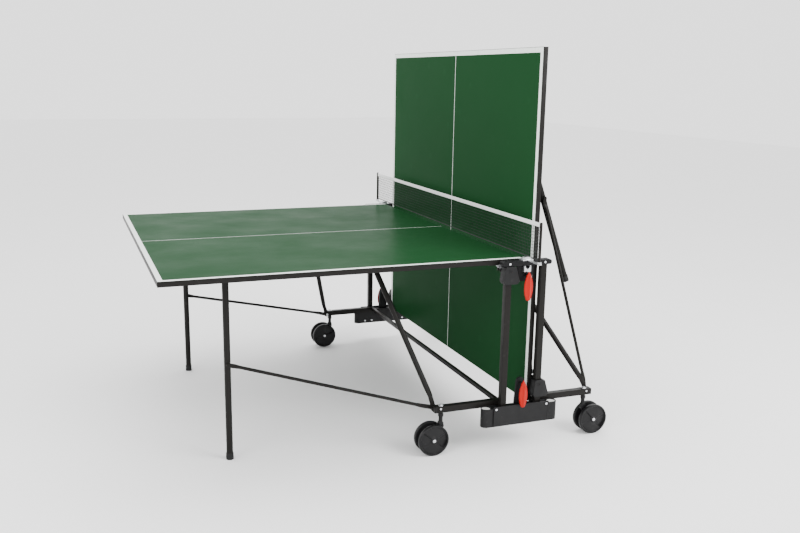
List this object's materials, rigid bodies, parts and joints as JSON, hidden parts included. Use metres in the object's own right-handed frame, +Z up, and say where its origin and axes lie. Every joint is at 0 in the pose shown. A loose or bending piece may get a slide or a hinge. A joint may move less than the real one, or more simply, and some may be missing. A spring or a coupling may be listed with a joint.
{
  "type": "ping pong table",
  "caption": "Folding table tennis table on castors: one half flat with its leg frame down, the other folded upright behind the net, each carried on sliders and struts.",
  "frame": {"origin": "on the floor under the middle of the whole bounding box; the net plane is at X = +0.4755 m", "axes": "+X along the table from the flat half to the upright half, +Y along the net away from the near side, +Z up"},
  "size_m": [1.789, 1.782, 1.544],
  "materials": {
    "black_paint": "satin",
    "dark_paint": "satin",
    "black_plastic": "fine grained",
    "castor_plastic": "fine grained",
    "wheel_plastic": "fine grained",
    "red_plastic": "glossy",
    "zinc": "bright zinc",
    "net": "woven",
    "tape": "woven",
    "cord": "braided",
    "board": "semi-gloss painted",
    "line_paint": "painted",
    "foot_rubber": "matt"
  },
  "bodies": {
    "base": {"side_beams": "black_paint", "beam_plugs": "black_plastic", "stem_caps": "zinc", "pivot_plates": "black_paint", "cross_tubes": "black_paint", "posts": "black_paint", "foot_shells": "black_plastic", "foot_covers": "black_plastic", "foot_screws": "zinc", "bridges": "dark_paint", "bridge_rivets": "zinc", "lock_plates_top": "dark_paint", "lock_plates_low": "dark_paint", "catches": "zinc", "net_arms": "zinc", "net_posts": "black_paint", "net_mesh": "net", "net_tape": "tape", "net_cord": "cord"},
    "castor_nl": {"castor_nl": "castor_plastic"},
    "wheel_nl": {"wheel_nl": "wheel_plastic"},
    "castor_nr": {"castor_nr": "castor_plastic"},
    "wheel_nr": {"wheel_nr": "wheel_plastic"},
    "castor_fl": {"castor_fl": "castor_plastic"},
    "wheel_fl": {"wheel_fl": "wheel_plastic"},
    "castor_fr": {"castor_fr": "castor_plastic"},
    "wheel_fr": {"wheel_fr": "wheel_plastic"},
    "lock_near_top": {"lock_near_top": "red_plastic"},
    "lock_near_low": {"lock_near_low": "red_plastic"},
    "lock_far_top": {"lock_far_top": "red_plastic"},
    "lock_far_low": {"lock_far_low": "red_plastic"},
    "a_slider": {"a_sliders": "black_plastic", "a_slider_pins": "zinc"},
    "a_half": {"a_board": "board", "a_lines": "line_paint", "a_edge": "black_paint", "a_rails": "black_paint", "a_brackets": "black_paint"},
    "a_strut": {"a_struts": "black_paint", "a_strut_ends": "black_paint"},
    "a_leg": {"a_legs": "black_paint", "a_leg_axle": "black_paint", "a_feet": "foot_rubber"},
    "a_stay": {"a_stays": "black_paint"},
    "b_slider": {"b_sliders": "black_plastic", "b_slider_pins": "zinc"},
    "b_half": {"b_board": "board", "b_lines": "line_paint", "b_edge": "black_paint", "b_rails": "black_paint", "b_brackets": "black_paint"},
    "b_strut": {"b_struts": "black_paint", "b_strut_ends": "black_paint"},
    "b_leg": {"b_legs": "black_paint", "b_leg_axle": "black_paint", "b_feet": "foot_rubber"},
    "b_stay": {"b_stays": "black_paint"}
  },
  "joints": [
    {"name": "castor_nl_swivel", "type": "hinge", "parent": "base", "child": "castor_nl", "pos_m": [0.1565, -0.7445, 0.16], "axis": [0, 0, 1], "continuous": true},
    {"name": "wheel_nl_spin", "type": "hinge", "parent": "castor_nl", "child": "wheel_nl", "pos_m": [0.119, -0.7445, 0.0625], "axis": [0, 1, 0], "continuous": true},
    {"name": "castor_nr_swivel", "type": "hinge", "parent": "base", "child": "castor_nr", "pos_m": [0.7945, -0.7445, 0.16], "axis": [0, 0, 1], "continuous": true},
    {"name": "wheel_nr_spin", "type": "hinge", "parent": "castor_nr", "child": "wheel_nr", "pos_m": [0.832, -0.7445, 0.0625], "axis": [0, 1, 0], "continuous": true},
    {"name": "castor_fl_swivel", "type": "hinge", "parent": "base", "child": "castor_fl", "pos_m": [0.1565, 0.7445, 0.16], "axis": [0, 0, 1], "continuous": true},
    {"name": "wheel_fl_spin", "type": "hinge", "parent": "castor_fl", "child": "wheel_fl", "pos_m": [0.119, 0.7445, 0.0625], "axis": [0, 1, 0], "continuous": true},
    {"name": "castor_fr_swivel", "type": "hinge", "parent": "base", "child": "castor_fr", "pos_m": [0.7945, 0.7445, 0.16], "axis": [0, 0, 1], "continuous": true},
    {"name": "wheel_fr_spin", "type": "hinge", "parent": "castor_fr", "child": "wheel_fr", "pos_m": [0.832, 0.7445, 0.0625], "axis": [0, 1, 0], "continuous": true},
    {"name": "lock_near_top_pull", "type": "hinge", "parent": "base", "child": "lock_near_top", "pos_m": [0.4755, -0.811, 0.7], "axis": [-1, 0, 0], "range_deg": [0, 30], "stiffness_Nm_per_rad": 0.4, "springref_deg": -11.46},
    {"name": "lock_near_low_pull", "type": "hinge", "parent": "base", "child": "lock_near_low", "pos_m": [0.4755, -0.811, 0.267], "axis": [-1, 0, 0], "range_deg": [0, 30], "stiffness_Nm_per_rad": 0.4, "springref_deg": -11.46},
    {"name": "lock_far_top_pull", "type": "hinge", "parent": "base", "child": "lock_far_top", "pos_m": [0.4755, 0.811, 0.7], "axis": [1, 0, 0], "range_deg": [0, 30], "stiffness_Nm_per_rad": 0.4, "springref_deg": -11.46},
    {"name": "lock_far_low_pull", "type": "hinge", "parent": "base", "child": "lock_far_low", "pos_m": [0.4755, 0.811, 0.267], "axis": [1, 0, 0], "range_deg": [0, 30], "stiffness_Nm_per_rad": 0.4, "springref_deg": -11.46},
    {"name": "a_slide", "type": "slide", "parent": "base", "child": "a_slider", "axis": [0, 0, 1], "range_m": [-0.466, 0]},
    {"name": "a_fold", "type": "hinge", "parent": "a_slider", "child": "a_half", "pos_m": [0.3935, 0, 0.721], "axis": [0, 1, 0], "range_deg": [0, 90]},
    {"name": "a_strut_turn", "type": "hinge", "parent": "a_half", "child": "a_strut", "pos_m": [-0.0375, 0, 0.725], "axis": [0, 1, 0], "range_deg": [-45.35, 0]},
    {"name": "a_leg_turn", "type": "hinge", "parent": "a_half", "child": "a_leg", "pos_m": [-0.6315, 0, 0.725], "axis": [0, 1, 0], "range_deg": [-70.09, 0]},
    {"name": "a_stay_turn", "type": "hinge", "parent": "a_leg", "child": "a_stay", "pos_m": [-0.6315, 0, 0.38], "axis": [0, 1, 0], "range_deg": [0, 65.93]},
    {"name": "b_slide", "type": "slide", "parent": "base", "child": "b_slider", "axis": [0, 0, 1], "range_m": [0, 0.466]},
    {"name": "b_fold", "type": "hinge", "parent": "b_slider", "child": "b_half", "pos_m": [0.5575, 0, 0.256], "axis": [0, 1, 0], "range_deg": [0, 90]},
    {"name": "b_strut_turn", "type": "hinge", "parent": "b_half", "child": "b_strut", "pos_m": [0.5535, 0, 0.687], "axis": [0, 1, 0], "range_deg": [-45.35, 0]},
    {"name": "b_leg_turn", "type": "hinge", "parent": "b_half", "child": "b_leg", "pos_m": [0.5535, 0, 1.281], "axis": [0, 1, 0], "range_deg": [-70.09, 0]},
    {"name": "b_stay_turn", "type": "hinge", "parent": "b_leg", "child": "b_stay", "pos_m": [0.67211, 0, 0.95703], "axis": [0, 1, 0], "range_deg": [0, 65.93]}
  ],
  "couplings": [
    {"joint": "a_slide", "follows": "a_fold", "m_per_rad": -0.29603},
    {"joint": "a_strut_turn", "follows": "a_fold", "ratio": -0.50163},
    {"joint": "a_leg_turn", "follows": "a_fold", "ratio": -0.77657},
    {"joint": "a_stay_turn", "follows": "a_fold", "ratio": 0.73033},
    {"joint": "b_slide", "follows": "b_fold", "m_per_rad": 0.29603},
    {"joint": "b_strut_turn", "follows": "b_fold", "ratio": -0.50163},
    {"joint": "b_leg_turn", "follows": "b_fold", "ratio": -0.77657},
    {"joint": "b_stay_turn", "follows": "b_fold", "ratio": 0.73033}
  ]
}
